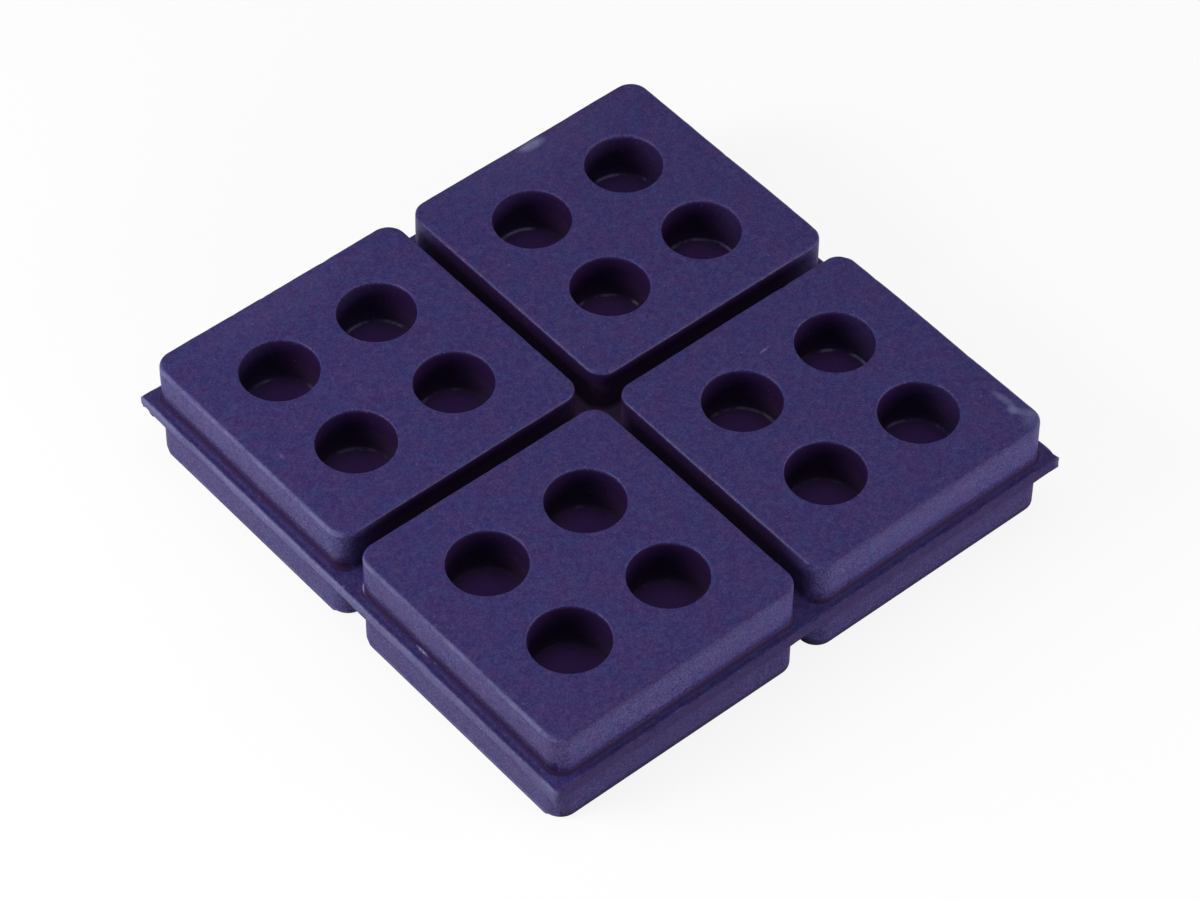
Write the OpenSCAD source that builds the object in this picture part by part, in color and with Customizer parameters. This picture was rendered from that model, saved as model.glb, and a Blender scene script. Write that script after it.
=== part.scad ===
// Moulded rubber machine pad: square blocks stand through one thin web, with grooves between them.
// Round wells sink into the blocks from the top faces, and the underside is plain.

/* [Blocks] */
// Side of one square block
block_side = 47.6; // [44:0.1:60]
// Blocks along each side of the pad
block_count = 2; // [1:1:4]
// Width of the groove between neighbouring blocks
groove_w = 3.2; // [1.6:0.1:8]
// Plan radius of a block's upright corners
corner_r = 3.2; // [1.5:0.1:6]
// Radius of the edges around a block's top and bottom faces
edge_r = 0.6; // [0.2:0.1:1.2]

/* [Web] */
// Thickness of the whole pad, from the bottom faces to the top faces
pad_t = 19.05; // [14:0.05:30]
// Thickness of the web that joins the blocks at mid-height
web_t = 2.4; // [1.2:0.1:5]
// How far the web stands out past the outer blocks
lip_w = 1.6; // [0.8:0.1:6]
// Radius of the fillet where a block meets the web
foot_r = 0.6; // [0.2:0.1:0.7]

/* [Wells] */
// Diameter of a well
well_d = 12.8; // [8:0.1:16]
// Depth of a well below the top faces
well_depth = 8.8; // [4:0.1:12]
// Distance between the centres of neighbouring wells in a block
well_pitch = 19.2; // [17:0.1:24]
// Wells along each side of a block
well_count = 2; // [1:1:2]
// Radius between a well's wall and its flat floor
floor_r = 0.6; // [0.2:0.1:1.5]
// Radius of a well's rim
rim_r = 0.3; // [0.1:0.05:0.6]

/* [Hidden] */
$fn = 64;
rubber = [0.23, 0.2, 0.38];
half_t = pad_t / 2;
block_pitch = block_side + groove_w;
core_side = block_side - 2 * corner_r;
web_side = block_count * block_pitch - groove_w + 2 * lip_w;
foot_y = web_t / 2 + foot_r;
well_r = well_d / 2;
// How far a cutter stands out past the face that it opens
clear = 1;

// Copies its children onto a square grid about the origin.
module grid(count, pitch) {
  middle = (count - 1) / 2;
  for (i = [0:count - 1], j = [0:count - 1])
    translate([(i - middle) * pitch, (j - middle) * pitch, 0])
      children();
}

// Copies its children to the four corners of a block's core, a quarter turn apart.
module core_corners() {
  for (turn = [0:90:270])
    rotate(turn)
      translate([core_side / 2, core_side / 2, 0])
        children();
}

// A block's border in section: x runs outwards from the core, y up from mid-height.
// Straight lines close each rounding and fillet, then circles fill it out or hollow it.
module border_section() {
  difference() {
    union() {
      polygon([
        [0, -half_t],
        [corner_r - edge_r, -half_t],
        [corner_r, edge_r - half_t],
        [corner_r, -foot_y],
        [corner_r + foot_r, -foot_y],
        [corner_r + foot_r, foot_y],
        [corner_r, foot_y],
        [corner_r, half_t - edge_r],
        [corner_r - edge_r, half_t],
        [0, half_t]
      ]);
      for (end = [-1, 1])
        translate([corner_r - edge_r, end * (half_t - edge_r)])
          circle(edge_r);
    }
    for (end = [-1, 1])
      translate([corner_r + foot_r, end * foot_y])
        circle(foot_r);
  }
}

// One block about the origin: a square core with a straight border on each side, turned at the corners.
module block() {
  cube([core_side, core_side, pad_t], center = true);
  core_corners()
    rotate([90, 0, 0])
      linear_extrude(core_side)
        border_section();
  core_corners()
    rotate_extrude(angle = 90)
      border_section();
}

// A well in section, to be turned about its axis: y is 0 at the top face.
module well_section() {
  difference() {
    union() {
      polygon([
        [0, -well_depth],
        [well_r - floor_r, -well_depth],
        [well_r, floor_r - well_depth],
        [well_r, -rim_r],
        [well_r + rim_r, -rim_r],
        [well_r + rim_r, clear],
        [0, clear]
      ]);
      translate([well_r - floor_r, floor_r - well_depth])
        circle(floor_r);
    }
    translate([well_r + rim_r, -rim_r])
      circle(rim_r);
  }
}

// The whole pad, standing on its bottom faces.
module rubber_pad() {
  color(rubber)
    difference() {
      translate([0, 0, half_t]) {
        cube([web_side, web_side, web_t], center = true);
        grid(block_count, block_pitch)
          block();
      }
      translate([0, 0, pad_t])
        grid(block_count, block_pitch)
          grid(well_count, well_pitch)
            rotate_extrude()
              well_section();
    }
}

rubber_pad();
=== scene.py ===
"""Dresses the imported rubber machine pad: its moulded skin, its trimmed web and the stage it is shown on."""

import math

import bpy
import numpy as np
from bpy.props import FloatProperty, FloatVectorProperty, IntProperty, PointerProperty
from mathutils import Matrix, Vector


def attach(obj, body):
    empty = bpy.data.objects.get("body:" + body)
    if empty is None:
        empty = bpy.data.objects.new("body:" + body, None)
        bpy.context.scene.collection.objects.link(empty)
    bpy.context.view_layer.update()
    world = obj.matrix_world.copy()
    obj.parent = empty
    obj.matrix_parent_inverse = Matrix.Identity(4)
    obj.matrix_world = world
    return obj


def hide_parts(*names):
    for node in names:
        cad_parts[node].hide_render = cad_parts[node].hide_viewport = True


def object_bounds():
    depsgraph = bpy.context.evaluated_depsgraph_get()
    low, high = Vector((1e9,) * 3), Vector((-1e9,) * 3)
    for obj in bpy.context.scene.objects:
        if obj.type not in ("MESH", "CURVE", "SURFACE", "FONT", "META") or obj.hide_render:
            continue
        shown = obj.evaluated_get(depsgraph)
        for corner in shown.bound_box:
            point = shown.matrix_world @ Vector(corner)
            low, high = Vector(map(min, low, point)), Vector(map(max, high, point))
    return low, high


bl_info = {
    "name": "Rubber machine pad",
    "version": (1, 0, 0),
    "blender": (4, 5, 0),
    "location": "View3D > Sidebar > Machine pad",
    "description": "Moulds a rubber machine pad around its solid and sets up a plain studio for it",
    "category": "Add Mesh",
}

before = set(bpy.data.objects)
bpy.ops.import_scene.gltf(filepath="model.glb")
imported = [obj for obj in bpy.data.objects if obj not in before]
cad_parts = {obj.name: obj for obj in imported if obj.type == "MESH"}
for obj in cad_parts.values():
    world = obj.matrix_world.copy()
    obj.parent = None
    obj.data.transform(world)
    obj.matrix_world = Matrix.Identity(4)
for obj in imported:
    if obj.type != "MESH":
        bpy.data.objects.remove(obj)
CAD_LOW, CAD_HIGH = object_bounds()
CAD_SPAN = CAD_HIGH - CAD_LOW

NODE = "rubber_pad"
BODY = "root"
MM = 0.001
PHOTO_WIDTH = 1200
SENSOR_WIDTH = 36.0
SEED = 20
# Points closer than this to a face count as lying on it.
CLOSE = 0.01 * MM
# Points further than this from a flat face count as lying off it.
OFF_FLAT = 0.02 * MM
# Points that agree to within this are made one.
SAME = 0.001 * MM
# Slack for comparing directions that should be equal.
ROUND_OFF = 1e-9
WHITE = (1.0, 1.0, 1.0, 1.0)


def setting(kind, **limits):
    """A maker of properties of one kind, which takes a name, a description and a default."""
    def make(name, description, default):
        return kind(name=name, description=description, default=default, **limits)
    return make


metres = setting(FloatProperty, unit="LENGTH")
angle = setting(FloatProperty, subtype="ANGLE")
watts = setting(FloatProperty, unit="POWER")
pixels = setting(FloatProperty, subtype="PIXEL")
number = setting(FloatProperty, min=0)
whole = setting(IntProperty, min=0)
fraction = setting(FloatProperty, min=0, max=1, subtype="FACTOR")
colour = setting(FloatVectorProperty, min=0, max=1, subtype="COLOR")


class PadShape(bpy.types.PropertyGroup):
    """Sizes of the moulding, as the solid has them, and of what trimming and use did to it."""

    web_side: metres("Web side", "Side of the square web", CAD_SPAN.x)
    pad_t: metres("Thickness", "From the bottom faces to the top faces", CAD_SPAN.z)
    groove_w: metres("Groove", "Width of the groove between blocks", 3.2 * MM)
    corner_r: metres("Corner radius", "Plan radius of a block's upright corners", 3.2 * MM)
    edge_r: metres("Edge radius", "Radius around a block's top and bottom", 0.6 * MM)
    web_t: metres("Web thickness", "Thickness of the web at mid-height", 2.4 * MM)
    foot_r: metres("Foot radius", "Fillet between a block and the web", 0.6 * MM)
    web_edge_r: metres("Web edge radius", "Radius along the web's trimmed edges", 0.2 * MM)
    well_d: metres("Well diameter", "Diameter of a well", 12.8 * MM)
    well_depth: metres("Well depth", "Depth of a well below the top faces", 8.8 * MM)
    well_pitch: metres("Well pitch", "Distance between neighbouring wells", 19.2 * MM)
    floor_r: metres("Floor radius", "Radius between a well's wall and floor", 0.6 * MM)
    rim_r: metres("Rim radius", "Radius of a well's rim", 0.3 * MM)
    step: metres("Mesh step", "Spacing of the mesh along the blocks' sides", 0.72 * MM)
    swell: metres("Swell", "Depth of the long, shallow waves in the skin", 0.03 * MM)
    ripple: metres("Ripple", "Depth of the short waves in the skin", 0.012 * MM)
    trim: metres("Trim", "How far the trimmed web edge wanders", 0.045 * MM)
    nick_depth: metres("Nick depth", "Depth of the deepest nicks in the blocks' edges", 0.1 * MM)
    nick_count: whole("Nicks", "Number of nicks in the blocks' edges", 36)


class PadFinish(bpy.types.PropertyGroup):
    """Colours and surface of the rubber, with the colours of the shade and light painted on it."""

    rubber: colour("Rubber", "Main colour", (0.017, 0.0095, 0.0845))
    cool: colour("Cool patches", "Bluer patches", (0.0135, 0.0118, 0.091))
    warm: colour("Warm patches", "Redder patches", (0.0235, 0.0085, 0.082))
    # Pale colour of edges scuffed by rubbing and of trimmed edges and smears; on the edges across X and in
    # some smears it is also a painted highlight.
    bloom: colour("Bloom", "Rubbed, chalky edges", (0.13, 0.13, 0.26))
    # Painted light on the wells' floors.
    settled: colour("Settled", "Dusty well floors", (0.05, 0.0185, 0.12))
    salt: colour("Salt", "Fine pale grains", (0.26, 0.24, 0.44))
    dust: colour("Dust", "Specks and pale marks", (0.50, 0.45, 0.74))
    # Painted shade: the dark colour taken in the wells and grooves, at the walls' feet, on the sides across
    # Y, under the web and along the bottom.
    recess: colour("Recess", "Clean rubber in wells and grooves", (0.016, 0.006, 0.034))
    depths: colour("Depths", "Dusty depths of wells and grooves", (0.052, 0.026, 0.075))
    roughness: fraction("Roughness", "Of the open faces", 0.45)
    recess_roughness: fraction("Recess roughness", "Of the wells and grooves", 0.3)
    foot_roughness: fraction("Foot roughness", "Low on the outer walls, above the web", 0.2)
    dull_roughness: fraction("Dull roughness", "Where grime or a fresh cut takes the sheen off", 0.95)
    gloss: fraction("Gloss", "Specular level", 0.17)
    grain: metres("Grain", "Depth of the moulded grain", 0.1 * MM)


class PadStage(bpy.types.PropertyGroup):
    """The camera, as the photograph's was found to stand, and the studio's lamps."""

    azimuth: angle("Azimuth", "Of the camera, from the pad's front", math.radians(-40.547))
    elevation: angle("Elevation", "Of the camera, above the floor", math.radians(48.692))
    roll: angle("Roll", "Of the camera, about its own axis", math.radians(0.448))
    distance: metres("Distance", "Along the camera's axis, to the pad's top", 731.3 * MM)
    aside: metres("Aside", "Of the pad's top centre, right of the camera's axis", -0.321 * MM)
    above: metres("Above", "Of the pad's top centre, above the camera's axis", 9.142 * MM)
    focal: pixels("Focal length", "In pixels of the photograph", 4737.7)
    floor_side: metres("Floor", "Side of the floor", 6.0)
    key_power: watts("Key lamp", "Power of the softbox behind on the left", 2.05)
    fill_power: watts("Fill lamp", "Power of the softbox in front on the right", 2.8)
    top_power: watts("Top lamp", "Power of the softbox overhead", 3.0)
    world: number("Surround", "Strength of the light all around", 0.16)


# Directions in a section, in degrees: out from the middle, up, and in towards the middle.
OUT = 0
UP = 90
IN = 180
QUARTER = 90
QUARTERS = 4
QUARTER_TURN = np.array(((0.0, 1.0), (-1.0, 0.0)))


def arc(centre, radius, start, sweep, steps):
    """Points on a circle about centre, from angle start on through angle sweep, in degrees."""
    turn = np.radians(np.linspace(start, start + sweep, steps + 1))
    return np.column_stack((centre[0] + radius * np.cos(turn), centre[1] + radius * np.sin(turn)))


def line(start, stop, steps):
    """Points from start to stop, evenly spaced."""
    return np.linspace(start, stop, steps + 1)


def at_height(plan, height):
    """Points of a plan, given as a grid of (x, y), at heights that fit the grid's rows or at one height."""
    height = np.broadcast_to(height, plan.shape[:2] + (1,))
    return np.concatenate((plan, height), axis=2)


def carry(profile, start, direction):
    """Carries a profile of (distance, height) round a path: the distance runs from start along direction."""
    return at_height(start + profile[:, None, :1] * direction, profile[:, None, 1:])


class Tile:
    """A quarter of one block with its well, its walls above and below the web, and its share of the web.

    Sixteen of them, turned and moved, make the pad. The block's middle is at the origin and the tile lies
    where x and y are positive. It is the same both sides of its diagonal, so turned neighbours meet point
    for point.
    """

    EDGE_STEPS = 5
    FOOT_STEPS = 4
    RIM_STEPS = 4
    WALL_STEPS = 5
    CORNER_STEPS = 12
    FACE_STEPS = 5
    FLOOR_STEPS = 4
    # Where the rows of the ledge lie, from a block's foot at 0 to the tile's border at 1.
    LEDGE_SHARES = (0.0, 0.4, 0.8, 0.88, 0.96, 1.0)
    # Flat rows this wide beside each rounding keep its shading crisp.
    BAND = 0.5 * MM
    SKIRT = 0.35 * MM
    # How pale a block's edge is, from rubbing and a painted highlight, rises as the sine of an angle that
    # starts here, at the top face.
    PALE_EDGE_FROM = np.pi / 8

    def __init__(self, shape):
        self.shape = shape
        self.half_cell = shape.web_side / 4
        self.core = self.half_cell - shape.groove_w / 2 - shape.corner_r
        self.web_top = (shape.pad_t + shape.web_t) / 2
        self.outline, self.normal = self.quarter_outline()
        self.patches = []

    def quarter_outline(self):
        """Core points and outward normals of the outline, from the X axis round the corner to the Y axis.

        Along a side the point moves and the normal stays. Round the corner it is the other way round.
        """
        run = line(0, self.core, round(self.core / self.shape.step))
        turn = np.linspace(0, np.pi / 2, self.CORNER_STEPS + 1)[1:-1]
        x = np.concatenate((np.full(run.size + turn.size, self.core), run[::-1]))
        y = np.concatenate((run, np.full(run.size + turn.size, self.core)))
        angle = np.concatenate((np.zeros(run.size), turn, np.full(run.size, np.pi / 2)))
        return np.column_stack((x, y)), np.column_stack((np.cos(angle), np.sin(angle)))

    def add(self, points, edge=0.0, outward=True, closed=False):
        """Keeps a patch: a grid of points, how pale an edge each row is from rubbing and a painted highlight,
        and which way it faces.
        """
        edge = np.broadcast_to(np.reshape(edge, (-1, 1)), points.shape[:2])
        self.patches.append((points, edge, outward, closed))

    def wall_profile(self):
        """A block's border from its top face down to the web, and how pale each row is from rubbing and a
        painted highlight.

        A flat band, a quarter circle for the edge, a straight wall and a hollow quarter circle for the foot.
        """
        s = self.shape
        face = s.corner_r - s.edge_r
        brink = s.pad_t - s.edge_r
        foot = self.web_top + s.foot_r
        band = [[face - self.BAND, s.pad_t]]
        edge = arc((face, brink), s.edge_r, UP, -QUARTER, self.EDGE_STEPS)
        wall = line((s.corner_r, brink - self.BAND), (s.corner_r, foot + self.SKIRT), self.WALL_STEPS)
        fillet = arc((s.corner_r + s.foot_r, foot), s.foot_r, IN, QUARTER, self.FOOT_STEPS)
        worn_and_highlit = np.sin(np.linspace(self.PALE_EDGE_FROM, np.pi / 2, len(edge)))
        rubbed = np.concatenate((np.zeros(len(band)), worn_and_highlit, np.zeros(len(wall) + len(fillet))))
        return np.concatenate((band, edge, wall, fillet)), rubbed

    def ledge(self):
        """The web from a block's foot to the tile's square border, in straight lines between the two."""
        s = self.shape
        reach = self.half_cell - self.core
        foot = self.outline + (s.corner_r + s.foot_r) * self.normal
        border = self.outline + reach * self.normal / np.abs(self.normal).max(axis=1, keepdims=True)
        share = np.array(self.LEDGE_SHARES)[:, None, None]
        return at_height(foot + share * (border - foot), self.web_top)

    def face_loop(self):
        """The edge of a tile's flat top: out along the X axis, round the outline, back along the Y axis."""
        s = self.shape
        reach = s.corner_r - s.edge_r - self.BAND
        outer = self.outline + reach * self.normal
        inner = line(0, outer[0, 0], round(outer[0, 0] / (2 * s.step)))[:-1]
        along_x = np.column_stack((inner, np.zeros(inner.size)))
        along_y = np.column_stack((np.zeros(inner.size - 1), inner[:0:-1]))
        return np.concatenate((along_x, outer, along_y))

    def well_profile(self):
        """A well from the face to its middle: flat band, rounded rim, wall, floor fillet, flat floor."""
        s = self.shape
        radius = s.well_d / 2
        brink = s.pad_t - s.rim_r
        floor = s.pad_t - s.well_depth
        band = [[radius + s.rim_r + self.BAND, s.pad_t]]
        rim = arc((radius + s.rim_r, brink), s.rim_r, UP, QUARTER, self.RIM_STEPS)
        wall = line((radius, brink - self.BAND), (radius, floor + s.floor_r), self.WALL_STEPS)[:-1]
        fillet = arc((radius - s.floor_r, floor + s.floor_r), s.floor_r, OUT, -QUARTER, self.FOOT_STEPS)
        disc = line((radius - s.floor_r, floor), (0, floor), self.FLOOR_STEPS)[1:]
        return np.concatenate((band, rim, wall, fillet, disc))

    def build(self):
        """Makes all the patches. The lower half mirrors the upper half's walls and has a plain face."""
        s = self.shape
        upside = np.array((1.0, 1.0, -1.0))
        lift = np.array((0.0, 0.0, s.pad_t))
        profile, rubbed = self.wall_profile()
        wall = carry(profile, self.outline, self.normal)
        ledge = self.ledge()
        self.add(wall, rubbed)
        self.add(ledge)
        self.add(wall * upside + lift, rubbed, outward=False)
        self.add(ledge * upside + lift, outward=False)
        loop = self.face_loop()
        centre = np.array((s.well_pitch / 2, s.well_pitch / 2))
        spoke = loop - centre
        hole = carry(self.well_profile(), centre, spoke / np.linalg.norm(spoke, axis=1, keepdims=True))
        share = line(0, 1, self.FACE_STEPS)[:, None, None]
        top = loop + share * (hole[0, :, :2] - loop)
        self.add(at_height(top, s.pad_t), outward=False, closed=True)
        self.add(hole, outward=False, closed=True)
        under = wall[0, :, :2] * share[::-1]
        self.add(at_height(under, 0.0))
        return self.patches


def web_rim(shape, tile):
    """The web's trimmed edge: the tile's border points carried round the pad, in rows from the top down."""
    row_steps = 8
    reach = tile.half_cell - tile.core
    slope = tile.normal[:, 1] / tile.normal.max(axis=1)
    first_half = tile.normal[:, 0] >= tile.normal[:, 1] - ROUND_OFF
    half_side = (tile.outline[:, 1] + reach * slope)[first_half]
    block = np.concatenate((-half_side[:0:-1], half_side))
    side = np.concatenate((block - tile.half_cell, block[1:] + tile.half_cell))[:-1]
    sides = [np.column_stack((np.full(side.size, shape.web_side / 2), side))]
    for _ in range(QUARTERS - 1):
        sides.append(sides[-1] @ QUARTER_TURN)
    loop = np.concatenate(sides)
    low = (shape.pad_t - shape.web_t) / 2 + shape.web_edge_r
    height = line(shape.pad_t - low, low, row_steps)
    return at_height(np.broadcast_to(loop, (height.size,) + loop.shape), height[:, None, None])


def grid_faces(rows, columns, first, outward, closed):
    """Quads of a grid of points, numbered from first by rows. Closed joins the last column to the first."""
    joins = columns if closed else columns - 1
    row, column = np.meshgrid(np.arange(rows - 1), np.arange(joins), indexing="ij")
    after = (column + 1) % columns
    quad = np.stack((row * columns + column, (row + 1) * columns + column,
                     (row + 1) * columns + after, row * columns + after), axis=-1).reshape(-1, 4)
    return first + (quad if outward else quad[:, ::-1])


def assemble(shape):
    """All tiles and the web's rim as one set of points, edge values and quads."""
    tile = Tile(shape)
    patches = []
    places = [(x, y) for x in (-tile.half_cell, tile.half_cell) for y in (-tile.half_cell, tile.half_cell)]
    for points, edge, outward, closed in tile.build():
        for quarter in range(QUARTERS):
            turn = np.identity(3)
            turn[:2, :2] = np.linalg.matrix_power(QUARTER_TURN, quarter)
            patches += [(points @ turn + np.array((x, y, 0)), edge, outward, closed) for x, y in places]
    rim = web_rim(shape, tile)
    patches.append((rim, np.zeros(rim.shape[:2]), True, True))
    starts = np.cumsum([0] + [edge.size for _, edge, _, _ in patches])
    faces = np.concatenate([
        grid_faces(*edge.shape, start, outward, closed)
        for start, (_, edge, outward, closed) in zip(starts, patches)])
    points = np.concatenate([points.reshape(-1, 3) for points, _, _, _ in patches])
    edge = np.concatenate([edge.ravel() for _, edge, _, _ in patches])
    points = points + np.array((0, 0, CAD_LOW.z))
    return weld(round_web(shape, points), edge, faces)


def round_web(shape, points):
    """Rounds the web's border: near it the web's top and bottom faces fall away along a quarter circle."""
    radius = shape.web_edge_r
    above = points[:, 2] - shape.pad_t / 2
    past = np.clip(np.abs(points[:, :2]).max(axis=1) - (shape.web_side / 2 - radius), 0, radius)
    fall = radius - np.sqrt(radius ** 2 - past ** 2)
    on_face = np.abs(np.abs(above) - shape.web_t / 2) < CLOSE
    rounded = points.copy()
    rounded[:, 2] -= np.where(on_face, np.sign(above) * fall, 0)
    return rounded


def weld(points, edge, faces):
    """Makes points that fall together one, with the largest of their edge values, and renumbers the quads."""
    grid = np.round(points / SAME).astype(np.int64)
    _, first, same = np.unique(grid, axis=0, return_index=True, return_inverse=True)
    same = same.ravel()
    kept = np.zeros(first.size)
    np.maximum.at(kept, same, edge)
    return points[first], kept, same[faces]


def point_normals(points, faces):
    """Unit normals of the points: the sum of their faces' normals, each as long as its face is large."""
    across = np.cross(points[faces[:, 2]] - points[faces[:, 0]], points[faces[:, 3]] - points[faces[:, 1]])
    total = np.zeros_like(points)
    for corner in range(faces.shape[1]):
        np.add.at(total, faces[:, corner], across)
    return total / np.linalg.norm(total, axis=1, keepdims=True)


def smooth(value, start, end):
    """Goes smoothly from 0 at start to 1 at end. Start may be the larger of the two."""
    share = np.clip((value - start) / (end - start), 0, 1)
    return share * share * (3 - 2 * share)


def fade(value, none, full):
    """Goes smoothly from 0 where the value is none to 1 where it is full, both in millimetres."""
    return smooth(value, none * MM, full * MM)


def bell(value, width):
    """A bell curve: 1 where the value is 0, and 1/e at one width from there."""
    return np.exp(-(value / width) ** 2)


# Sets of waves: shortest and longest wave in metres, how many there are, and what is added to the seed.
LONG_WANDER = (4 * MM, 18 * MM, 14, 1)
SHORT_WANDER = (1.4 * MM, 3 * MM, 14, 2)
TORN = (1.2 * MM, 2.4 * MM, 12, 3)
SWELL = (9 * MM, 30 * MM, 20, 4)
RIPPLE = (1.8 * MM, 5 * MM, 24, 5)


def waves(points, kind):
    """A smooth random field, mostly within -1 to 1: a sum of sine waves with seeded directions and phases."""
    shortest, longest, count, seed = kind
    rng = np.random.default_rng(SEED + seed)
    direction = rng.normal(size=(3, count))
    direction /= np.linalg.norm(direction, axis=0)
    length = rng.uniform(shortest, longest, count)
    phase = rng.uniform(0, 2 * np.pi, count)
    return np.sin(points @ (direction * 2 * np.pi / length) + phase).sum(axis=1) / math.sqrt(count)


def skin(shape, points, normals):
    """Long and short shallow waves over the skin, along its normals. The bottom faces stay flat."""
    depth = shape.swell * waves(points, SWELL) + shape.ripple * waves(points, RIPPLE)
    return points + normals * (depth * fade(points[:, 2], none=0, full=2))[:, None]


def nick(shape, points, normals, edge):
    """Presses nicks into the blocks' top edges: bell-shaped dents along the normals, about seeded points."""
    on_edge_from = 0.5
    widths = (0.3 * MM, 0.8 * MM)
    depth_shares = (0.2, 1.0)
    rng = np.random.default_rng(SEED)
    on_edge = np.flatnonzero((edge > on_edge_from) & (points[:, 2] > shape.pad_t / 2))
    centre = points[rng.choice(on_edge, shape.nick_count, replace=False)]
    width = rng.uniform(*widths, shape.nick_count)
    depth = shape.nick_depth * rng.uniform(*depth_shares, shape.nick_count)
    dent = np.zeros(len(points))
    for middle, reach, deep in zip(centre, width, depth):
        dent += deep * bell(np.linalg.norm(points - middle, axis=1), reach)
    return points - normals * dent[:, None]


def square_lower_edges(shape, points, across):
    """Squares the lower edges across X, which are left sharp: the rounding's points move out to a square.

    A point keeps about its angle at the rounding's centre. The angles are spread so that one row, which the
    rounding has at row_angle, falls on the square's corner.
    """
    row_angle = 36
    straight_from = 0.97
    radius = shape.edge_r
    centre_x = (shape.web_side - shape.groove_w) / 2 - radius
    centre_z = CAD_LOW.z + radius
    out = np.abs(points[:, 0]) - centre_x
    down = centre_z - points[:, 2]
    in_edge = (out > -CLOSE) & (down > -CLOSE)
    angle = np.degrees(np.arctan2(down, out))
    turn = np.radians(np.interp(angle, (0, row_angle, QUARTER), (0, QUARTER / 2, QUARTER)))
    reach = radius / np.maximum(np.cos(turn), np.sin(turn))
    share = smooth(across, straight_from, 1.0) * in_edge
    moved = points.copy()
    moved[:, 0] += share * (np.sign(points[:, 0]) * (centre_x + reach * np.cos(turn)) - points[:, 0])
    moved[:, 2] += share * (centre_z - reach * np.sin(turn) - points[:, 2])
    return moved


def trim_web(shape, points):
    """Moves the web's border as trimming left it.

    All sides wander in waves, a little inside the true square. A bell-shaped notch bites in by the right tip,
    and a score line runs along the left side. Under the left side the web rises to a bevel, most at the left
    tip, and a torn flap hangs at the front corner.
    """
    half = shape.web_side / 2
    x, y, z = points.T
    above = z - shape.pad_t / 2
    in_web = np.abs(above) < shape.web_t / 2 + CLOSE
    out = fade(np.abs(points[:, :2]) - half, none=-0.7, full=0) * in_web[:, None]
    left = out[:, 0] * (x < 0)
    low = np.clip(-above / (shape.web_t / 2), 0, 1)
    short_share, set_in = 0.6, 0.8
    drift = waves(points, LONG_WANDER) + short_share * waves(points, SHORT_WANDER) - set_in
    cut = np.sign(points[:, :2]) * out * (shape.trim * drift)[:, None]
    notch_depth, notch_width, from_tip = 0.25 * MM, 0.45 * MM, 0.9 * MM
    cut[:, 0] -= notch_depth * bell(np.hypot(x - half, y + half - from_tip), notch_width) * in_web
    score_depth, score_width, score_down = 0.14 * MM, 0.16 * MM, 0.5 * MM
    along = fade(y, none=27, full=30) * fade(y, none=47, full=36)
    cut[:, 0] += score_depth * bell(above + score_down, score_width) * along * left
    bevel_rise = 0.35 * MM
    bevel = fade(-x - half, none=-1.3, full=-0.2) * in_web * fade(y + half, none=3, full=12)
    rise = bevel_rise * bevel * (1 + fade(y - half, none=-7, full=0))
    flap_length, flap_drop, flap_ragged = 5 * MM, 0.9 * MM, 0.35 * MM
    drop = bell(y + half, flap_length) * left * (flap_drop + flap_ragged * waves(points, TORN))
    return points + np.column_stack((cut, low * (rise - drop)))


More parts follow.
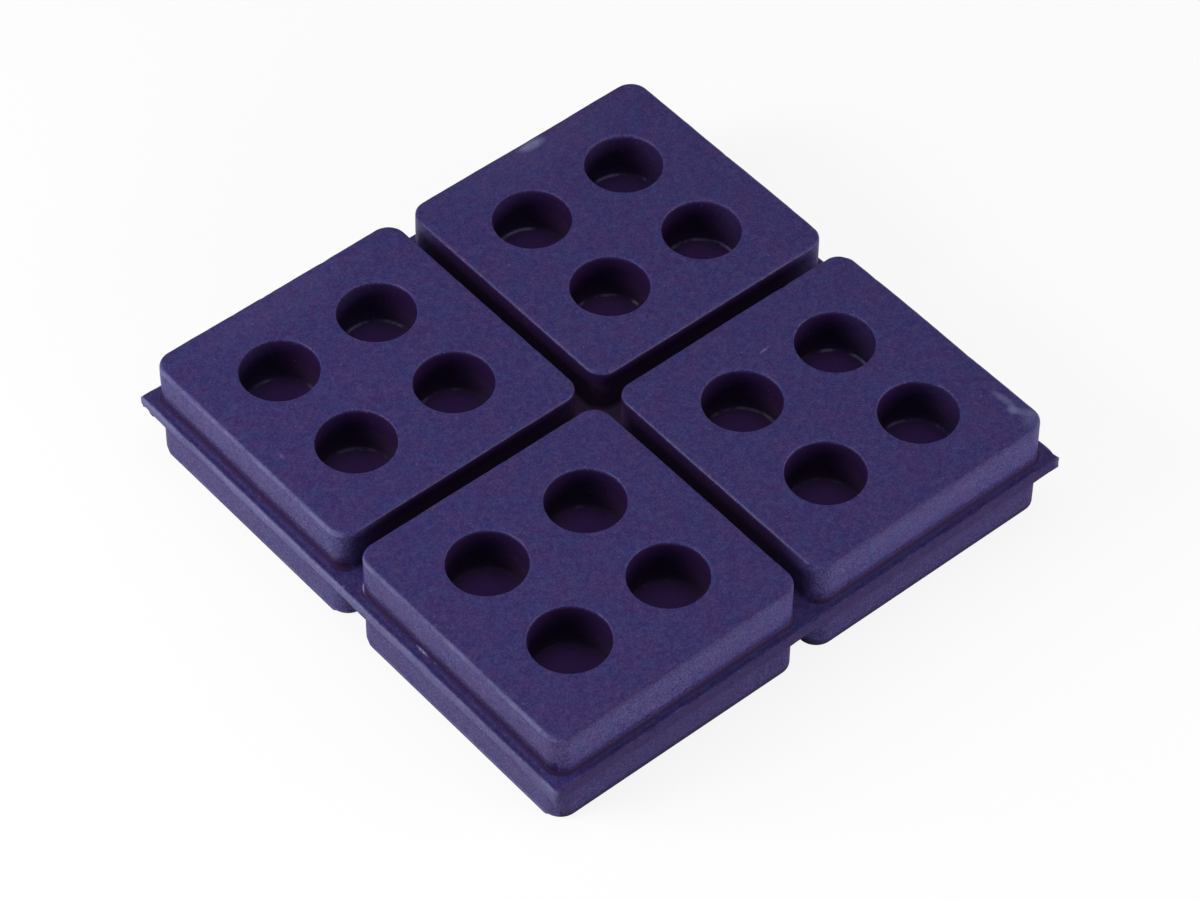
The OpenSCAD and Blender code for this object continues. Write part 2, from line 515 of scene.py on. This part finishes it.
class WearAndPaintedLight:
    """Where the pad is scuffed, dirty or hollow, and where shade and light are painted on it: each method
    gives one value of its points, from 0 to 1.

    The points lie as moulded, before waves, nicks and trimming move them.
    """

    WALL_SLACK = 0.05 * MM

    def __init__(self, shape, points):
        self.shape = shape
        self.x, self.y, self.z = points.T
        away = np.abs(points[:, :2])
        # How far a point lies in from the web's border, and out past the blocks' outer walls.
        self.inside = shape.web_side / 2 - away.max(axis=1)
        self.out = shape.groove_w / 2 - self.inside
        # Whether it lies nearer to the sides across X or to those across Y.
        self.on_x = away[:, 0] > away[:, 1]
        self.on_y = away[:, 1] > away[:, 0]
        # Its height above the middle and above the wells' floors, and its depth below the nearer face.
        self.above = self.z - shape.pad_t / 2
        self.above_floor = self.z - shape.pad_t + shape.well_depth
        self.down = np.minimum(shape.pad_t - self.z, self.z)
        # How far in from the nearest well's wall it lies, and whether it is in that well.
        from_axis = np.abs(away - shape.web_side / 4) - shape.well_pitch / 2
        self.from_wall = shape.well_d / 2 - np.linalg.norm(from_axis, axis=1)
        self.in_well = self.from_wall > -self.WALL_SLACK

    def outermost(self):
        """1 on the edges around the pad's outside and 0 on those along the grooves."""
        return fade(self.inside, none=3.6, full=2.6)

    def cut_edge(self):
        """1 on the web's cut edge and 0 elsewhere."""
        return fade(self.inside, none=0.5, full=0.15) * (np.abs(self.above) < self.shape.web_t)

    def recess(self):
        """How deep a point lies in a well or groove: 0 on the open faces. The colour takes painted shade by
        this value.
        """
        web_slack, web_mouth, wall_mouth, run = 0.3 * MM, 3.5 * MM, 0.2 * MM, 11 * MM
        on_web = np.abs(self.above) < self.shape.web_t / 2 + web_slack
        mouth = self.shape.groove_w / 2 + np.where(on_web, web_mouth, wall_mouth)
        return fade(self.down, none=0.1, full=0.5) * smooth(self.inside, mouth, mouth + run)

    def depth(self):
        """A lighter colour held in the wells and grooves: none near their mouths and most low down."""
        well_share = 0.6
        well = well_share * fade(self.down, none=3.0, full=7.5)
        return self.recess() * np.where(self.in_well, well, fade(self.down, none=1.5, full=4.0))

    def crease(self):
        """Painted shade low on the outer walls above the web, from 0 up the wall to 1 at its foot.

        It reaches further up the sides across X. Across Y it lies thinly on the ledge too.
        """
        x_reach, y_reach, full_below, ledge_share = 4.1 * MM, 1.4 * MM, 0.3, 0.1
        up = self.above - self.shape.web_t / 2
        on_foot = np.where(self.on_x, fade(self.out, none=0.4, full=0), fade(self.out, none=0.6, full=0.15))
        nearer = np.minimum(np.abs(self.x), np.abs(self.y))
        beside = smooth(nearer, self.shape.groove_w / 2, self.shape.groove_w)
        on_ledge = ledge_share * fade(self.out, none=1.1, full=0.8) * beside * ~self.on_x
        at_wall = np.maximum(on_foot * (up > OFF_FLAT), on_ledge) * fade(self.out, none=-2.2, full=-1.2)
        return smooth(up / np.where(self.on_x, x_reach, y_reach), 1.0, full_below) * at_wall * (up > -CLOSE)

    def dull(self):
        """Grime that dulls the sheen: in the fillets at the blocks' feet and at the floors of the wells."""
        up = np.abs(self.above) - self.shape.web_t / 2
        foot = fade(up, none=0.9, full=0.5) * (up > OFF_FLAT) * fade(self.out, none=0.65, full=0.35)
        low = fade(self.above_floor, none=1.2, full=0.7) * (self.above > 0)
        return np.maximum(foot, low * self.in_well)

    def bottom(self):
        """Painted contact shade: 1 along the bottom edges across Y, where the walls meet the floor, fading to
        0 up the walls.
        """
        return fade(self.z - CAD_LOW.z, none=2.0, full=0.8) * self.on_y

    def clean(self):
        """Painted shade on the sides: 1 on the cut edges across Y, less below them and at the tops.

        The sides across X take it only as a painted shadow line under the web.
        """
        below_share, upper_share, brink_share, shade_share = 0.55, 0.25, 0.4, 0.35
        off_edge = 0.03 * MM
        at_wall = fade(self.out, none=-1.2, full=-0.2)
        from_top = self.shape.pad_t - self.z
        under = -self.above - self.shape.web_t / 2
        below = below_share + upper_share * fade(under, none=3.8, full=2.4)
        below = below * fade(under, none=-0.1, full=0.1)
        brink = brink_share * fade(from_top, none=1.8, full=0.2) * (from_top > OFF_FLAT)
        edge = self.cut_edge() * (self.above < self.shape.web_t / 2 - off_edge)
        shade = shade_share * fade(under, none=3.6, full=2.9) * (under > 0)
        return np.where(self.on_y, np.maximum(edge, at_wall * np.maximum(below, brink)), at_wall * shade)

    def settled(self):
        """Painted light on the floors of the wells: 1 there and 0 elsewhere."""
        slack = 0.5 * MM
        return fade(self.from_wall, none=0.2, full=1.2) * (np.abs(self.above_floor) < slack)

    def ring(self):
        """A painted glint along the fillets round the wells' floors: most in the back block, least in front.
        """
        least, level, width, reach = 0.2, 0.12 * MM, 0.1 * MM, 0.5 * MM
        inside = (self.from_wall < reach) & (self.from_wall > self.WALL_SLACK)
        share = least + (1 - least) * fade(self.x + self.y, none=-35, full=45)
        return bell(self.above_floor - level, width) * inside * share

    def trimmed(self):
        """How pale trimming left the web's cut edge, with a painted highlight: most along its top, none at
        its bottom or across Y.
        """
        usual = 0.7
        level = usual + (1 - usual) * fade(self.above, none=0.3, full=0.9)
        return self.cut_edge() * level * fade(self.above, none=-1.05, full=-0.6) * ~self.on_y


def fill_mesh(name, points, faces, values):
    """A new mesh of points, quads and named point values. A quad with a doubled corner becomes a triangle."""
    after = np.roll(faces, -1, axis=1)
    keep = faces != after
    starts = np.concatenate(([0], keep.sum(axis=1).cumsum()[:-1]))
    mesh = bpy.data.meshes.new(name)
    mesh.vertices.add(len(points))
    mesh.vertices.foreach_set("co", points.astype(np.float32).ravel())
    mesh.loops.add(int(keep.sum()))
    mesh.loops.foreach_set("vertex_index", faces[keep].astype(np.int32))
    mesh.polygons.add(len(faces))
    mesh.polygons.foreach_set("loop_start", starts.astype(np.int32))
    mesh.polygons.foreach_set("use_smooth", np.ones(len(faces), bool))
    mesh.update(calc_edges=True)
    for label, value in values.items():
        mesh.attributes.new(label, "FLOAT", "POINT").data.foreach_set("value", value.astype(np.float32))
    if mesh.validate():
        raise RuntimeError(f"{name} had faces that Blender had to mend")
    return mesh


VECTOR = "NodeSocketVector"
COLOUR = "NodeSocketColor"
FLOAT = "NodeSocketFloat"
VECTOR_MATHS = "ShaderNodeVectorMath"
# Sockets of a Mix node: its factor, its two plain values, its two colours, and the colour that it puts out.
MIX_FACTOR = 0
MIX_VALUES = (2, 3)
MIX_COLOURS = (6, 7)
MIX_COLOUR_OUT = 2


def place(tree, kind, inputs=None, **settings):
    """A new node with its settings, and its inputs given as values or as sockets to link from."""
    made = tree.nodes.new(kind)
    for name, value in settings.items():
        setattr(made, name, value)
    for name, value in (inputs or {}).items():
        if isinstance(value, bpy.types.NodeSocket):
            tree.links.new(value, made.inputs[name])
        else:
            made.inputs[name].default_value = value
    return made


def maths(tree, operation, first, second, kind="ShaderNodeMath"):
    """The result of a Math node, or of a Vector Math node."""
    return place(tree, kind, {0: first, 1: second}, operation=operation).outputs[0]


def times(tree, first, second):
    """Two values multiplied."""
    return maths(tree, "MULTIPLY", first, second)


def less(tree, value):
    """What a value leaves of 1."""
    return maths(tree, "SUBTRACT", 1.0, value)


def strongest(tree, first, *others):
    """The largest of some values."""
    for other in others:
        first = maths(tree, "MAXIMUM", first, other)
    return first


def between(tree, value, low, high, to_low=0.0, to_high=1.0):
    """A value mapped smoothly from one range to another."""
    inputs = {"Value": value, "From Min": low, "From Max": high, "To Min": to_low, "To Max": to_high}
    return place(tree, "ShaderNodeMapRange", inputs, interpolation_type="SMOOTHSTEP").outputs["Result"]


def mix_value(tree, share, first, second):
    """Two values mixed: the first at 0, the second at 1."""
    inputs = dict(zip((MIX_FACTOR, *MIX_VALUES), (share, first, second)))
    return place(tree, "ShaderNodeMix", inputs).outputs[0]


def mix_colour(tree, share, first, second):
    """Two colours mixed: the first at 0, the second at 1."""
    inputs = dict(zip((MIX_FACTOR, *MIX_COLOURS), (share, first, second)))
    return place(tree, "ShaderNodeMix", inputs, data_type="RGBA").outputs[MIX_COLOUR_OUT]


def noise(tree, vector, size, detail=2.0, fineness=0.5):
    """Noise with features of about the given size, in the vector's own units, and finer ones on top."""
    scale = maths(tree, "DIVIDE", 1.0, size)
    inputs = {"Vector": vector, "Scale": scale, "Detail": detail, "Roughness": fineness}
    return place(tree, "ShaderNodeTexNoise", inputs).outputs["Fac"]


def cells(tree, vector, spacing):
    """A Voronoi texture's outputs, and its scale, for cells of about the given spacing."""
    scale = maths(tree, "DIVIDE", 1.0, spacing)
    return place(tree, "ShaderNodeTexVoronoi", {"Vector": vector, "Scale": scale}).outputs, scale


def group(name, output, kind, vectors=(), colours=(), **values):
    """A new node group that takes a vector and what else is named: its tree, its inputs and its output."""
    tree = bpy.data.node_groups.new(name, "ShaderNodeTree")
    tree.interface.new_socket(output, in_out="OUTPUT", socket_type=kind)
    kinds = {**dict.fromkeys(("Vector", *vectors), VECTOR), **dict.fromkeys(colours, COLOUR)}
    for label, socket_kind in {**kinds, **dict.fromkeys(values, FLOAT)}.items():
        socket = tree.interface.new_socket(label.replace("_", " "), in_out="INPUT", socket_type=socket_kind)
        if label in values:
            socket.default_value = values[label]
    return tree, tree.nodes.new("NodeGroupInput").outputs, tree.nodes.new("NodeGroupOutput").inputs[0]


def use(tree, shared, **inputs):
    """Places a shared node group, with its inputs named in words joined by underscores."""
    named = {name.replace("_", " "): value for name, value in inputs.items()}
    return place(tree, "ShaderNodeGroup", named, node_tree=shared).outputs[0]


def mottle_group():
    """Colour that drifts to two tints in patches, with fine and broad pale grains over it."""
    tree, given, out = group("Rubber mottle", "Colour", COLOUR, colours=("Colour", "Cool", "Warm", "Salt"),
                             Patch_size=3.2, Salt_size=0.27, Salt_share=0.15)
    shift = (37.0, 11.0, 5.0)
    broader = 4.0
    vector = given["Vector"]
    aside = maths(tree, "ADD", vector, shift, VECTOR_MATHS)
    patch = {"size": given["Patch size"], "detail": 4.0, "fineness": 0.6}
    cool = between(tree, noise(tree, vector, **patch), low=0.42, high=0.62)
    warm = between(tree, noise(tree, aside, **patch), low=0.42, high=0.62)
    tinted = mix_colour(tree, warm, mix_colour(tree, cool, given["Colour"], given["Cool"]), given["Warm"])
    fine = noise(tree, vector, given["Salt size"])
    fine = between(tree, fine, low=0.35, high=0.75, to_high=given["Salt share"])
    broad = noise(tree, aside, times(tree, given["Salt size"], broader), detail=3.0)
    broad = between(tree, broad, low=0.35, high=0.7, to_high=0.04)
    tree.links.new(mix_colour(tree, maths(tree, "ADD", fine, broad), tinted, given["Salt"]), out)
    return tree


def grain_group():
    """Height of the moulded grain: fine noise with sparse shallow pits."""
    tree, given, out = group("Moulded grain", "Height", FLOAT, Grain_size=0.6, Pit_spacing=1.6)
    pit_share = 0.3
    fine = noise(tree, given["Vector"], given["Grain size"], detail=4.0)
    pits, _ = cells(tree, given["Vector"], given["Pit spacing"])
    pit = between(tree, pits["Distance"], low=0.05, high=0.2)
    height = maths(tree, "ADD", times(tree, fine, 1 - pit_share), times(tree, pit, pit_share))
    tree.links.new(height, out)
    return tree


def speck_group():
    """Sparse specks: small discs about Voronoi points, kept in only a few of the cells."""
    tree, given, out = group("Dust specks", "Mask", FLOAT, Spacing=3.0, Radius=0.15, Kept=0.3)
    solid_share = 0.4
    spots, scale = cells(tree, given["Vector"], given["Spacing"])
    reach = times(tree, given["Radius"], scale)
    disc = less(tree, between(tree, spots["Distance"], low=times(tree, reach, solid_share), high=reach))
    pick = place(tree, "ShaderNodeSeparateColor", {"Color": spots["Color"]}).outputs[0]
    tree.links.new(times(tree, disc, maths(tree, "LESS_THAN", pick, given["Kept"])), out)
    return tree


def mark_group():
    """One pale mark: an ellipsoid about a point, turned in plan, with its strength broken up by noise."""
    tree, given, out = group("Pale mark", "Mask", FLOAT, vectors=("Centre", "Half size"),
                             Turn=0.0, Break_up=0.5, Broken=1.0)
    from_centre = maths(tree, "SUBTRACT", given["Vector"], given["Centre"], VECTOR_MATHS)
    turned = place(tree, "ShaderNodeVectorRotate", {"Vector": from_centre, "Angle": given["Turn"]},
                   rotation_type="Z_AXIS")
    sized = maths(tree, "DIVIDE", turned.outputs[0], given["Half size"], VECTOR_MATHS)
    apart = place(tree, VECTOR_MATHS, {0: sized}, operation="LENGTH").outputs["Value"]
    body = less(tree, between(tree, apart, low=0.25, high=1.0))
    lost = between(tree, noise(tree, given["Vector"], given["Break up"], detail=3.0), low=0.62, high=0.38)
    ragged = less(tree, times(tree, lost, given["Broken"]))
    tree.links.new(times(tree, body, ragged), out)
    return tree


def rubbed_and_highlit_group():
    """Where rounded edges are pale, from rubbing and a painted highlight: the edge value, broken up by two
    sizes of noise.
    """
    tree, given, out = group("Rubbed edge", "Mask", FLOAT, Edge=0.0, Long_wear=9.0, Short_wear=0.8)
    short_share = 0.4
    long_wear = between(tree, noise(tree, given["Vector"], given["Long wear"]), low=0.3, high=0.65)
    short_wear = noise(tree, given["Vector"], given["Short wear"], detail=4.0)
    short_wear = between(tree, short_wear, low=0.3, high=0.7)
    markings = maths(tree, "ADD", times(tree, long_wear, 1 - short_share), times(tree, short_wear, short_share))
    tree.links.new(times(tree, between(tree, given["Edge"], low=0.3, high=1.0), markings), out)
    return tree


# Pale marks of use: centre in millimetres, turn in plan in degrees, half sizes in millimetres, strength.
MARKS = (
    ((-49.05, -17.8, 11.0), 90, (2.2, 0.35, 0.8), 0.9),
    ((-49.1, -20.7, 10.9), 90, (0.9, 0.25, 0.6), 0.6),
    ((-48.2, -2.4, 11.0), 60, (1.8, 0.4, 0.8), 0.35),
    ((25.3, -10.1, 19.0), 5, (1.5, 0.3, 0.5), 0.18),
    ((-45.6, 20.8, 19.0), 80, (1.2, 0.5, 0.5), 0.1),
)

# Soft pale smears, given in the same way: partly smudges, partly painted highlight and sheen along the
# blocks' far edges.
SMEARS_AND_HIGHLIGHTS = (
    ((-26.0, 46.5, 19.0), 0, (24.0, 6.0, 3.0), 0.06),
    ((26.0, 46.5, 19.0), 0, (24.0, 6.0, 3.0), 0.06),
    ((26.3, 47.8, 18.9), -3, (3.6, 1.3, 1.4), 1.0),
    ((46.9, -41.6, 19.0), 95, (3.6, 1.0, 1.0), 0.45),
    ((46.4, -43.9, 19.0), 70, (1.3, 1.0, 1.0), 0.7),
    ((47.4, -45.4, 19.0), -53, (2.6, 1.1, 1.0), 0.5),
    ((47.6, -47.4, 18.6), 45, (3.2, 2.6, 2.5), 0.35),
)

# The point values of use and of painted shade and light, all those that the rubber reads from its mesh, and
# its colours in the finish.
WEAR_AND_PAINTED_LIGHT = ("recess", "depth", "crease", "dull", "bottom", "clean", "settled", "ring", "trimmed")
VALUES = ("edge", "upright", *WEAR_AND_PAINTED_LIGHT)
COLOURS = ("rubber", "cool", "warm", "bloom", "settled", "salt", "dust", "recess", "depths")
# How far each mark takes the colour over, from 0 to 1: painted shade at the walls' feet, on the sides and
# along the bottom, pale edges from rubbing and trimming with a painted highlight, and specks.
TAKEN = {
    "crease": 0.95, "clean": 0.65, "bottom": 0.8, "rubbed": 0.6, "chalk": 0.75, "specks": 0.09, "flecks": 0.3}


def wear_and_highlight_mask(tree, vector, value):
    """Where the blocks' edges are pale from rubbing and the web's cut edge from trimming, both with a painted
    highlight on the sides across X.
    """
    shared = rubbed_and_highlit_group()
    rubbed = use(tree, shared, Vector=vector, Edge=value["edge"])
    cut = use(tree, shared, Vector=vector, Edge=value["trimmed"], Long_wear=14.0, Short_wear=0.5)
    chalk = times(tree, cut, less(tree, value["clean"]))
    return strongest(tree, times(tree, rubbed, TAKEN["rubbed"]), times(tree, chalk, TAKEN["chalk"]))


def ground_colour(tree, vector, value, solid):
    """The mottled rubber, darker with painted shade in the hollows, at the walls' feet, on the sides and
    along the bottom, lighter low in the wells and grooves, and with painted light on the wells' floors.
    """
    level_salt, upright_salt = 0.09, 0.12
    salt = maths(tree, "ADD", times(tree, value["upright"], upright_salt), level_salt)
    mottled = use(tree, mottle_group(), Vector=vector, Colour=solid["rubber"], Cool=solid["cool"],
                  Warm=solid["warm"], Salt=solid["salt"], Salt_share=salt)
    # Painted shade at the walls' feet, on the sides and along the bottom, joined to that in the hollows.
    grime_and_painted_shade = [times(tree, value[name], TAKEN[name]) for name in ("crease", "clean", "bottom")]
    hollow = strongest(tree, value["recess"], *grime_and_painted_shade)
    clean = mix_colour(tree, hollow, mottled, solid["recess"])
    lightened_low = mix_colour(tree, value["depth"], clean, solid["depths"])
    patchy = between(tree, noise(tree, vector, size=0.6, detail=3.0), low=0.35, high=0.65, to_low=0.55)
    # Painted light on the wells' floors, made patchy.
    return mix_colour(tree, times(tree, value["settled"], patchy), lightened_low, solid["settled"])


def placed_marks(tree, vector, shared, table, **broken):
    """Masks of the marks in a table, each as strong as the table says."""
    masks = []
    for centre, turn, half_size, strength in table:
        mask = use(tree, shared, Vector=vector, Centre=centre, Turn=math.radians(-turn), Half_size=half_size,
                   **broken)
        masks.append(times(tree, mask, strength))
    return masks


def dust_and_glint_mask(tree, vector, value, marks):
    """Fine specks, larger flecks, a painted glint round the wells' floors, and the pale marks."""
    shared = speck_group()
    specks = use(tree, shared, Vector=vector, Spacing=1.3, Radius=0.17, Kept=0.35)
    flecks = use(tree, shared, Vector=vector, Spacing=6.0, Radius=0.22, Kept=0.2)
    uneven = between(tree, noise(tree, vector, size=3.0, detail=4.0), low=0.42, high=0.66, to_high=0.42)
    # The fillets round the wells' floors take a painted glint.
    return strongest(tree, times(tree, specks, TAKEN["specks"]), times(tree, flecks, TAKEN["flecks"]),
                     times(tree, value["ring"], uneven), *marks)


def rubber_roughness(tree, value, worn_and_highlit, grain, finish):
    """Varies with the grain: higher on the pale edges, lower at walls' feet and in recesses, highest where
    dull.
    """
    unevenness, mean_height, worn_rougher = 0.25, 0.5, 0.2
    uneven = times(tree, maths(tree, "SUBTRACT", grain, mean_height), unevenness)
    rough = maths(tree, "ADD", maths(tree, "ADD", uneven, finish.roughness), times(tree, worn_and_highlit, worn_rougher))
    sleek = between(tree, value["crease"], low=0.0, high=0.35)
    rough = mix_value(tree, sleek, rough, finish.foot_roughness)
    rough = mix_value(tree, value["recess"], rough, finish.recess_roughness)
    dull = strongest(tree, value["dull"], value["clean"], value["bottom"])
    return mix_value(tree, dull, rough, finish.dull_roughness)


def rubber_material(finish):
    """Indigo rubber: mottled and grained, pale with rubbing, specks and painted highlights, darker with
    painted shade and smoother in the recesses, with painted light on the wells' floors.
    """
    material = bpy.data.materials.new("Moulded rubber")
    material.use_nodes = True
    tree = material.node_tree
    shader = tree.nodes["Principled BSDF"].inputs
    place_in = place(tree, "ShaderNodeTexCoord").outputs["Object"]
    vector = place(tree, VECTOR_MATHS, {0: place_in, "Scale": 1 / MM}, operation="SCALE").outputs[0]
    value = {name: place(tree, "ShaderNodeAttribute", attribute_name=name).outputs["Fac"] for name in VALUES}
    solid = {name: (*getattr(finish, name), 1.0) for name in COLOURS}
    worn_and_highlit = wear_and_highlight_mask(tree, vector, value)
    # Pale edges from rubbing and trimming, with a painted highlight on the sides across X.
    pale_and_highlit = mix_colour(tree, worn_and_highlit, ground_colour(tree, vector, value, solid), solid["bloom"])
    mark = mark_group()
    # Pale smears: partly smudges, partly painted highlight and sheen.
    for pale_patch in placed_marks(tree, vector, mark, SMEARS_AND_HIGHLIGHTS, Break_up=1.5, Broken=0.3):
        pale_and_highlit = mix_colour(tree, pale_patch, pale_and_highlit, solid["bloom"])
    dust = dust_and_glint_mask(tree, vector, value, placed_marks(tree, vector, mark, MARKS, Broken=0.7))
    tree.links.new(mix_colour(tree, dust, pale_and_highlit, solid["dust"]), shader["Base Color"])
    grain = use(tree, grain_group(), Vector=vector)
    tree.links.new(rubber_roughness(tree, value, worn_and_highlit, grain, finish), shader["Roughness"])
    bump = place(tree, "ShaderNodeBump", {"Strength": 1.0, "Distance": finish.grain, "Height": grain})
    tree.links.new(bump.outputs["Normal"], shader["Normal"])
    shader["Specular IOR Level"].default_value = finish.gloss
    return material


class MACHINEPAD_OT_mould(bpy.types.Operator):
    """Moulds the pad's skin around its solid, trims its web and gives it its rubber"""

    bl_idname = "machine_pad.mould"
    bl_label = "Mould the pad"

    def execute(self, context):
        shape = context.scene.pad_shape
        points, edge, faces = assemble(shape)
        normals = point_normals(points, faces)
        level_from = 0.01
        sideways = np.maximum(np.linalg.norm(normals[:, :2], axis=1), level_from)
        across = np.abs(normals[:, 0]) / sideways
        markings = WearAndPaintedLight(shape, points)
        values = {name: getattr(markings, name)() for name in WEAR_AND_PAINTED_LIGHT}
        # Pale edges from rubbing, with a painted highlight: only on the edges across X, round the pad's
        # outside.
        values["edge"] = edge * across * markings.outermost()
        values["upright"] = 1 - np.abs(normals[:, 2])
        points = square_lower_edges(shape, points, across)
        points = nick(shape, skin(shape, points, normals), normals, edge)
        points = trim_web(shape, points)
        points[:, 2] = np.maximum(points[:, 2], CAD_LOW.z)
        mesh = fill_mesh("moulded_pad", points, faces, values)
        mesh.materials.append(rubber_material(context.scene.pad_finish))
        pad = bpy.data.objects.new("moulded_pad", mesh)
        context.scene.collection.objects.link(pad)
        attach(pad, BODY)
        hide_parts(NODE)
        return {"FINISHED"}


# The softboxes: place in metres, and width and height. Each one faces the origin.
SOFTBOXES = {
    "key": ((-0.365, 0.157, 0.203), (0.25, 0.25)),
    "fill": ((0.225, -0.41, 0.125), (0.8, 0.17)),
    "top": ((0.0, 0.0, 1.1), (0.8, 0.8)),
}
FLOOR_GREY = (0.9, 0.9, 0.9, 1.0)
# How much of the plain white, instead of its own shading, the floor shows the camera and reflections.
FLOOR_WHITE_SEEN = 0.85
FLOOR_WHITE_MIRRORED = 0.04
# How far the surround goes to white in reflections.
SURROUND_WHITE_MIRRORED = 0.6


def seen_share(tree, by_camera, by_mirrors):
    """A share that goes by the kind of ray: one for the camera's own, one for mirrored and refracted ones."""
    path = place(tree, "ShaderNodeLightPath").outputs
    mirrored = strongest(tree, path["Is Glossy Ray"], path["Is Transmission Ray"])
    direct = times(tree, path["Is Camera Ray"], by_camera)
    return maths(tree, "ADD", direct, times(tree, mirrored, by_mirrors))


def floor_material():
    """A pale floor that the camera sees as nearly white, with a little of its own shading."""
    material = bpy.data.materials.new("Studio floor")
    material.use_nodes = True
    tree = material.node_tree
    tree.nodes.clear()
    seen = seen_share(tree, FLOOR_WHITE_SEEN, FLOOR_WHITE_MIRRORED)
    paper = place(tree, "ShaderNodeBsdfDiffuse", {"Color": FLOOR_GREY})
    white = place(tree, "ShaderNodeEmission", {"Color": WHITE, "Strength": 1.0})
    mixed = place(tree, "ShaderNodeMixShader", {0: seen, 1: paper.outputs[0], 2: white.outputs[0]})
    place(tree, "ShaderNodeOutputMaterial", {"Surface": mixed.outputs[0]})
    return material


class MACHINEPAD_OT_stage(bpy.types.Operator):
    """Sets the floor, the lamps and the camera at the photograph's viewing angle"""

    bl_idname = "machine_pad.stage"
    bl_label = "Set the stage"

    def execute(self, context):
        stage = context.scene.pad_stage
        self.lay_floor(context, stage)
        for name in SOFTBOXES:
            self.hang_softbox(context, stage, name)
        self.light_surround(context, stage)
        self.stand_camera(context, stage)
        context.scene.view_settings.view_transform = "Standard"
        return {"FINISHED"}

    def lay_floor(self, context, stage):
        """A square floor under the pad."""
        half = stage.floor_side / 2
        plan = ((-half, -half), (half, -half), (half, half), (-half, half))
        mesh = bpy.data.meshes.new("floor")
        mesh.from_pydata([(x, y, CAD_LOW.z) for x, y in plan], [], [(0, 1, 2, 3)])
        mesh.materials.append(floor_material())
        floor = bpy.data.objects.new("floor", mesh)
        context.scene.collection.objects.link(floor)

    def hang_softbox(self, context, stage, name):
        """An area lamp that faces the origin and that the camera doesn't see."""
        place_at, size = SOFTBOXES[name]
        lamp = bpy.data.lights.new(f"{name}_softbox", "AREA")
        lamp.shape = "RECTANGLE"
        lamp.size, lamp.size_y = size
        lamp.energy = getattr(stage, f"{name}_power")
        box = bpy.data.objects.new(f"{name}_softbox", lamp)
        box.location = place_at
        box.rotation_euler = (-Vector(place_at)).to_track_quat("-Z", "Y").to_euler()
        box.visible_camera = False
        context.scene.collection.objects.link(box)

    def light_surround(self, context, stage):
        """A surround that is white to the camera, paler grey in reflections and weak as a light."""
        world = bpy.data.worlds.new("Pale surround")
        world.use_nodes = True
        tree = world.node_tree
        background = tree.nodes["Background"].inputs
        seen = seen_share(tree, 1.0, SURROUND_WHITE_MIRRORED)
        tree.links.new(mix_value(tree, seen, stage.world, 1.0), background["Strength"])
        background["Color"].default_value = WHITE
        context.scene.world = world

    def stand_camera(self, context, stage):
        """The camera, turned by its three angles and backed off from the middle of the pad's top."""
        top = Vector(((CAD_LOW.x + CAD_HIGH.x) / 2, (CAD_LOW.y + CAD_HIGH.y) / 2, CAD_HIGH.z))
        turn = Matrix.Rotation(stage.azimuth, 4, "Z")
        turn @= Matrix.Rotation(math.pi / 2 - stage.elevation, 4, "X")
        turn @= Matrix.Rotation(stage.roll, 4, "Z")
        back_off = Matrix.Translation((-stage.aside, -stage.above, stage.distance))
        lens = bpy.data.cameras.new("camera")
        lens.sensor_width = SENSOR_WIDTH
        lens.lens = stage.focal / PHOTO_WIDTH * SENSOR_WIDTH
        camera = bpy.data.objects.new("camera", lens)
        camera.matrix_world = Matrix.Translation(top) @ turn @ back_off
        context.scene.collection.objects.link(camera)
        context.scene.camera = camera


class MACHINEPAD_PT_sidebar(bpy.types.Panel):
    """Lists the pad's sizes and finish and the two steps that build it"""

    bl_idname = "MACHINEPAD_PT_sidebar"
    bl_label = "Machine pad"
    bl_space_type = "VIEW_3D"
    bl_region_type = "UI"
    bl_category = "Machine pad"

    def draw(self, context):
        for title, settings, operator in (
            ("Shape", context.scene.pad_shape, None),
            ("Finish", context.scene.pad_finish, MACHINEPAD_OT_mould),
            ("Stage", context.scene.pad_stage, MACHINEPAD_OT_stage),
        ):
            box = self.layout.box()
            box.label(text=title)
            for name in settings.__annotations__:
                box.prop(settings, name)
            if operator:
                box.operator(operator.bl_idname)


CLASSES = (PadShape, PadFinish, PadStage, MACHINEPAD_OT_mould, MACHINEPAD_OT_stage, MACHINEPAD_PT_sidebar)


def register():
    for made in CLASSES:
        bpy.utils.register_class(made)
    bpy.types.Scene.pad_shape = PointerProperty(type=PadShape)
    bpy.types.Scene.pad_finish = PointerProperty(type=PadFinish)
    bpy.types.Scene.pad_stage = PointerProperty(type=PadStage)


def unregister():
    del bpy.types.Scene.pad_stage
    del bpy.types.Scene.pad_finish
    del bpy.types.Scene.pad_shape
    for made in reversed(CLASSES):
        bpy.utils.unregister_class(made)


def main():
    register()
    bpy.ops.machine_pad.mould()
    bpy.ops.machine_pad.stage()


if __name__ == "__main__":
    main()
